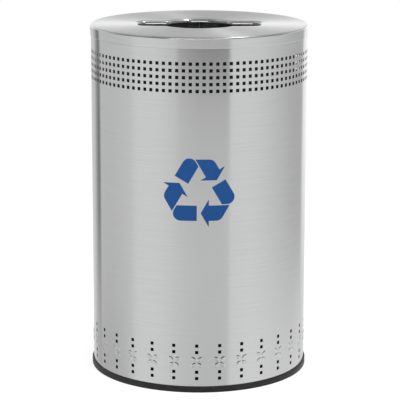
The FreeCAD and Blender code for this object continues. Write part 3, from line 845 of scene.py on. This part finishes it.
def opening_outline(grow):
    """The opening grown outwards by an amount, anticlockwise from +X, always with as many points."""
    circle = OPENING_RADIUS + grow
    corner = SLOT_CORNER + grow
    blend = OPENING_BLEND - grow
    end = SLOT_HALF + grow
    side = SLOT_SIDE + grow
    blend_x = math.sqrt((circle + blend) ** 2 - (side + blend) ** 2)
    touch = math.degrees(math.atan2(side + blend, blend_x))
    run = (blend_x - end + corner) / SLOT_SIDE_STEPS
    quarter = [(end, (side - corner) * step / SLOT_END_STEPS) for step in range(SLOT_END_STEPS)]
    quarter += corner_arc(end - corner, side - corner, corner, 0, 90, SLOT_CORNER_STEPS)
    quarter += [(end - corner + run * step, side) for step in range(1, SLOT_SIDE_STEPS)]
    quarter += corner_arc(blend_x, side + blend, blend, 270, 180 + touch, BLEND_STEPS)
    quarter += corner_arc(0.0, 0.0, circle, touch, 90, CIRCLE_STEPS)[1:]
    half = quarter + [(-x, y) for x, y in reversed(quarter[:-1])]
    return half + [(x, -y) for x, y in reversed(half[1:-1])]


def circle_like(outline, radius):
    """Points on a circle in the same directions as an outline's points."""
    return [(x * radius / math.hypot(x, y), y * radius / math.hypot(x, y)) for x, y in outline]


def lid_rings():
    """The lid as rings of points, from the skirt's inner edge over the top, into the opening and back."""
    edge = opening_outline(LIP_ROUND)
    crest = LID_RADIUS - LID_BEND
    rings = []

    def drop_at(radius, roll):
        if radius > LID_ROLL_FROM:
            return roll * ((radius - LID_ROLL_FROM) / (crest - LID_ROLL_FROM)) ** 2
        return LID_DISH * (1 - (radius / LID_ROLL_FROM) ** 2)

    def add_circle(radius, height):
        rings.append([(x, y, height) for x, y in circle_like(edge, radius)])

    def add_outline(grow, height):
        rings.append([(x, y, height) for x, y in opening_outline(grow)])

    def add_top(height, shares, roll):
        rim = circle_like(edge, crest)
        for share in shares:
            ring = []
            for (rim_x, rim_y), (edge_x, edge_y) in zip(rim, edge):
                x = rim_x + (edge_x - rim_x) * share
                y = rim_y + (edge_y - rim_y) * share
                ring.append((x, y, height - drop_at(math.hypot(x, y), roll)))
            rings.append(ring)

    lip_top = LID_TOP - drop_at(OPENING_RADIUS + LIP_ROUND, LID_ROLL)
    shoulder = LID_TOP - LID_ROLL - LID_BEND
    shares = [step / LID_RINGS for step in range(1, LID_RINGS + 1)]
    hem = LID_RADIUS - SKIRT_DRAWN_IN
    add_circle(hem - HEM_ROUND, LID_HEM + LID_SHEET)
    for radius, height in corner_arc(hem - HEM_ROUND, LID_HEM + HEM_ROUND, HEM_ROUND, -90, 0):
        add_circle(radius, height)
    add_circle(hem, LID_HEM + HEM_ROUND + SKIRT_GUARD)
    add_circle(LID_RADIUS, shoulder - SKIRT_GUARD)
    for radius, height in corner_arc(crest, shoulder, LID_BEND, 0, 90):
        add_circle(radius, height)
    add_top(LID_TOP, shares, LID_ROLL)
    for grow, height in corner_arc(LIP_ROUND, lip_top - LIP_ROUND, LIP_ROUND, *LIP_ARC, LIP_STEPS):
        add_outline(max(grow, 0.0), height)
    add_outline(0.0, LID_TOP - LIP_DEPTH)
    add_outline(LID_SHEET, LID_TOP - LIP_DEPTH)
    lip_inside = LIP_ROUND - LID_SHEET
    for grow, height in corner_arc(LIP_ROUND, lip_top - LIP_ROUND, lip_inside, *reversed(LIP_ARC), LIP_STEPS):
        add_outline(grow, height)
    add_top(LID_TOP - LID_SHEET, list(reversed(shares)) + [0.0], 0.0)
    for radius, height in corner_arc(crest, shoulder, LID_BEND - LID_SHEET, INSIDE_BEND_FROM, 0):
        add_circle(radius, height)
    return rings


def ring_mesh(name, rings):
    """Faces between each ring of points and the next, and from the last to the first."""
    count = len(rings[0])
    vertices = [point for ring in rings for point in ring]
    faces = []
    for index in range(len(rings)):
        here = index * count
        after = (index + 1) % len(rings) * count
        for step in range(count):
            beside = (step + 1) % count
            faces.append((here + step, here + beside, after + beside, after + step))
    mesh = bpy.data.meshes.new(name)
    mesh.from_pydata(vertices, [], faces)
    mesh.validate()
    return mesh


def ring_streaks(at):
    """Places that change with the distance from the axis and the height, so that their noise draws rings."""
    x, y, z = at.parts()
    return streaked(x, y, (x * x + y * y).math("SQRT") + z)


steel_lid = brushed_steel("brushed_lid", ring_streaks, LID_ROUGHNESS, LID_DRAWN_OUT,
                          rough_from=(LID_TOP - LID_BEND, LID_TOP - LID_BEND / 2))
add_piece("lid_cap", ring_mesh("lid_cap", lid_rings()), steel_lid, "lid", "lid_cover")

# Studio
# A pale plain floor, a white surround that the steel mirrors with its dark cards and flags, soft lamps at
# both sides and above, two small lamps for the glints on the lid, and the photograph's camera.
FLOOR_RADIUS = 3.2
FLOOR_SEGMENTS = 96
FLOOR_DROP = 0.0004
FLOOR_GREY = (0.42, 0.42, 0.42, 1.0)
FLOOR_GLOW = 0.6
floor_mesh = bpy.data.meshes.new("floor")
floor_builder = bmesh.new()
bmesh.ops.create_circle(floor_builder, cap_ends=True, radius=FLOOR_RADIUS, segments=FLOOR_SEGMENTS)
for vertex in floor_builder.verts:
    vertex.co.z = -FLOOR_DROP
floor_builder.to_mesh(floor_mesh)
floor_builder.free()
floor_paint = bpy.data.materials.new("pale_floor")
floor_paint.use_nodes = True
floor_tree = floor_paint.node_tree
floor_tree.nodes.remove(floor_tree.nodes["Principled BSDF"])
rays = Field(floor_tree).node("ShaderNodeLightPath").socket.node
seen = Field(floor_tree, rays.outputs["Is Camera Ray"]) + Field(floor_tree, rays.outputs["Is Glossy Ray"])
seen = seen + Field(floor_tree, rays.outputs["Is Transmission Ray"])
glow = seen.node("ShaderNodeEmission", None, {"Strength": seen.math("MINIMUM", 1.0) * FLOOR_GLOW})
matt = seen.node("ShaderNodeBsdfDiffuse", None, {"Color": FLOOR_GREY})
both = seen.node("ShaderNodeAddShader", None, {0: glow, 1: matt})
floor_tree.links.new(both.socket, floor_tree.nodes["Material Output"].inputs["Surface"])
floor = bpy.data.objects.new("floor", floor_mesh)
floor_mesh.materials.append(floor_paint)
bpy.context.collection.objects.link(floor)
floor.visible_glossy = False

# What the steel mirrors, by bearing from the front and rise from level, both in degrees.
AMBIENT = 0.75
DEGREES = 180 / math.pi
# A grey card in front, soft at its left, with a darker crest and a grey foot
CARD_LEFT = (-52.0, 10.0)
CARD_RIGHT = (30.0, 34.5)
CARD_FADE = (-10.5, -6.0)
CARD_DEPTH = 0.5
CARD_TOP = (10.0, 24.0)
CARD_PALE_LEFT = (-48.0, -14.0)
CARD_PALE_DEPTH = 0.06
CARD_FOOT = (-24.0, -16.0)
CARD_FOOT_DEPTH = 0.3
CARD_CREST_LEFT = (-24.5, -20.5)
CARD_CREST_FADE = (-7.0, -4.0)
CARD_CREST_TOP = (0.0, 4.0)
CARD_CREST_DEPTH = 0.4
# A narrow flag behind on the left
LEFT_FLAG = (-153.0, -133.5, -129.5)
LEFT_FLAG_DEPTH = (0.06, 0.7)
FLAG_FADE = (-17.0, -13.0)
# The light falls off along both sides, and near the floor
LEFT_FALL = (-60.0, -125.0)
LEFT_LEVEL = 0.84
LEFT_STEP = (-69.0, -79.0)
LEFT_STEP_LEVEL = 0.92
LEFT_FOOT = (-95.0, -70.0)
LEFT_FOOT_RISE = (-19.0, -15.0)
LEFT_FOOT_DEPTH = 0.22
RIGHT_FOOT = (35.0, 60.0)
RIGHT_FOOT_RISE = (-19.0, -14.0)
RIGHT_FOOT_GAIN = 0.1
RIGHT_FALL = (45.0, 138.0)
RIGHT_LEVEL = (0.95, 0.62)
# Lighter panels behind on both sides
LEFT_BACK_FROM = (-150.0, -158.0)
LEFT_BACK_LEVEL = (0.82, 0.7)
RIGHT_BACK_FROM = (142.0, 147.0)
RIGHT_BACK_LEVEL = (0.85, 1.15)
HEIGHT_FADE = (-16.0, -9.0)
# The unlit room in front above the card, and its loft
DARK_ROOM_LEFT = (-115.0, -95.0)
DARK_ROOM_RIGHT = (95.0, 115.0)
DARK_ROOM_FROM = (3.0, 9.0)
DARK_ROOM_TO = (30.0, 42.0)
DARK_ROOM_DEPTH = 0.9
LOFT_LEFT = (-80.0, -60.0)
LOFT_RIGHT = (38.0, 52.0)
LOFT_FROM = (26.0, 40.0)
LOFT_TO = (46.0, 62.0)
LOFT_DEPTH = 0.8
# The white backdrop, brightest low down, and the grey ceiling over it
BACKDROP_LEVEL = 0.95
BACKDROP_RISE = (-2.0, 6.0)
BACKDROP_TOP = (13.0, 24.0)
BACK_GLOW = 1.0
BACK_GLOW_FROM = (-6.0, 1.0)
BACK_GLOW_TO = (3.0, 10.0)
BEHIND = (-0.1, 0.2)
FAR_BEHIND = (0.7, 0.95)
CEILING_FROM = (52.0, 68.0)
CEILING_GAP_LEVEL = 0.64
CEILING_LEVEL = 0.3
world = bpy.data.worlds.new("studio")
world.use_nodes = True
bpy.context.scene.world = world
world_tree = world.node_tree
direction = Field(world_tree).node("ShaderNodeTexCoord", None, None, "Generated")
to_x, to_y, to_z = direction.parts()
bearing = to_x.math("ARCTAN2", to_y * -1.0) * DEGREES
rise = to_z.math("ARCSINE") * DEGREES
card = bearing.smooth(*CARD_LEFT) * rise.smooth(*CARD_FADE, 0.0, CARD_DEPTH)
card = card + bearing.smooth(*CARD_LEFT) * rise.smooth(*CARD_FOOT, CARD_FOOT_DEPTH, 0.0)
pale = bearing.smooth(*CARD_PALE_LEFT) * CARD_PALE_DEPTH
crest = rise.smooth(*CARD_CREST_FADE, 0.0, CARD_CREST_DEPTH) * rise.smooth(*CARD_CREST_TOP, 1.0, 0.0)
card = card + pale + crest * bearing.smooth(*CARD_CREST_LEFT)
card = 1 - card * bearing.smooth(*CARD_RIGHT, 1.0, 0.0) * rise.smooth(*CARD_TOP, 1.0, 0.0)
flag = bearing.smooth(*LEFT_FLAG[:2]) * bearing.smooth(*LEFT_FLAG[1:], 1.0, 0.0)
flag = 1 - flag * rise.smooth(*FLAG_FADE, *LEFT_FLAG_DEPTH)
right_level = rise.smooth(*FLAG_FADE, *RIGHT_LEVEL)
sides = bearing.smooth(*reversed(LEFT_FALL), LEFT_LEVEL, 1.0) * bearing.smooth(*RIGHT_FALL, 1.0, right_level)
sides = sides * bearing.smooth(*reversed(LEFT_STEP), LEFT_STEP_LEVEL, 1.0)
left_foot = bearing.smooth(*LEFT_FOOT, 1.0, 0.0) * rise.smooth(*LEFT_FOOT_RISE, LEFT_FOOT_DEPTH, 0.0)
right_foot = bearing.smooth(*RIGHT_FOOT) * rise.smooth(*RIGHT_FOOT_RISE, RIGHT_FOOT_GAIN, 0.0)
sides = sides * (1 - left_foot) * (1 + right_foot)
left_back = bearing.smooth(*reversed(LEFT_BACK_FROM), 1.0, 0.0)
right_back = bearing.smooth(*RIGHT_BACK_FROM)
back_light = left_back * rise.smooth(*HEIGHT_FADE, *LEFT_BACK_LEVEL)
back_light = back_light + right_back * rise.smooth(*HEIGHT_FADE, *RIGHT_BACK_LEVEL)
surround = card * flag * (sides * (1 - left_back - right_back) + back_light)
above = rise.smooth(*BACKDROP_RISE)
surround = surround * (1 - above) + card * above * rise.smooth(*BACKDROP_RISE, 1.0, BACKDROP_LEVEL)
room = bearing.smooth(*DARK_ROOM_LEFT) * bearing.smooth(*DARK_ROOM_RIGHT, 1.0, 0.0)
room = room * rise.smooth(*DARK_ROOM_FROM) * rise.smooth(*DARK_ROOM_TO, 1.0, 0.0)
loft = bearing.smooth(*LOFT_LEFT) * bearing.smooth(*LOFT_RIGHT, 1.0, 0.0)
loft = loft * rise.smooth(*LOFT_FROM) * rise.smooth(*LOFT_TO, 1.0, 0.0)
surround = surround * (1 - room * DARK_ROOM_DEPTH) * (1 - loft * LOFT_DEPTH)
behind = to_y.smooth(*BEHIND)
gap = rise.smooth(*BACKDROP_TOP) * rise.smooth(*CEILING_FROM, 1.0, 0.0) * behind
back_glow = rise.smooth(*BACK_GLOW_FROM) * rise.smooth(*BACK_GLOW_TO, BACK_GLOW, 0.0)
back_glow = back_glow * to_y.smooth(*FAR_BEHIND)
surround = surround * (1 - gap * (1.0 - CEILING_GAP_LEVEL)) * (1 + back_glow)
surround = surround * rise.smooth(*CEILING_FROM, 1.0, CEILING_LEVEL)
world_rays = direction.node("ShaderNodeLightPath").socket.node
plain = Field(world_tree, world_rays.outputs["Is Camera Ray"])
plain = plain + Field(world_tree, world_rays.outputs["Is Transmission Ray"])
plain = plain.math("MINIMUM", 1.0)
mirrored = Field(world_tree, world_rays.outputs["Is Glossy Ray"])
level = plain + (1 - plain) * (mirrored * surround + (1 - mirrored) * AMBIENT)
background = world_tree.nodes["Background"]
background.inputs["Color"].default_value = (1.0, 1.0, 1.0, 1.0)
world_tree.links.new(level.socket, background.inputs["Strength"])


def soft_lamp(name, place, target, width, height, watts, mirrored_too=False):
    """An area lamp that shows in the steel only where that is asked for."""
    lamp = bpy.data.lights.new(name, "AREA")
    lamp.shape = "RECTANGLE"
    lamp.size = width
    lamp.size_y = height
    lamp.energy = watts
    holder = bpy.data.objects.new(name, lamp)
    holder.location = place
    holder.rotation_euler = (Vector(target) - Vector(place)).to_track_quat("-Z", "Y").to_euler()
    holder.visible_glossy = mirrored_too
    holder.visible_camera = False
    bpy.context.collection.objects.link(holder)


BIN_MIDDLE = (0.0, 0.0, 0.5)
FAR_LIP = (0.0, 0.1, 0.97)
soft_lamp("lamp_left", (-3.2, -2.0, 2.2), BIN_MIDDLE, width=1.6, height=2.4, watts=70.0)
soft_lamp("lamp_right", (3.2, -1.6, 2.2), BIN_MIDDLE, width=1.6, height=2.4, watts=60.0)
soft_lamp("lamp_above", (0.0, -0.4, 4.0), BIN_MIDDLE, width=2.5, height=2.5, watts=50.0)
soft_lamp("lamp_sparkle", (1.25, 0.0, 4.2), BIN_MIDDLE, width=0.5, height=0.5, watts=24.0, mirrored_too=True)
soft_lamp("lamp_lip", (0.0, -1.2, 1.3), FAR_LIP, width=1.3, height=0.3, watts=3.2, mirrored_too=True)

CAMERA_DISTANCE = 5.1766
CAMERA_HEIGHT = 1.6344
CAMERA_DOWN = 0.2208
CAMERA_YAW = -0.00058
CAMERA_ROLL = 0.0024
FOCAL_PIXELS = 1865.0
IMAGE_PIXELS = 400
SENSOR = 36.0
lens = bpy.data.cameras.new("photo_camera")
lens.sensor_width = SENSOR
lens.lens = FOCAL_PIXELS / IMAGE_PIXELS * SENSOR
camera = bpy.data.objects.new("photo_camera", lens)
camera.location = (0.0, -CAMERA_DISTANCE, CAMERA_HEIGHT)
aim = Euler((math.pi / 2 - CAMERA_DOWN, 0.0, CAMERA_YAW)).to_matrix()
camera.rotation_euler = (aim @ Matrix.Rotation(CAMERA_ROLL, 3, "Z")).to_euler()
bpy.context.collection.objects.link(camera)
bpy.context.scene.camera = camera
bpy.context.scene.view_settings.view_transform = "Standard"
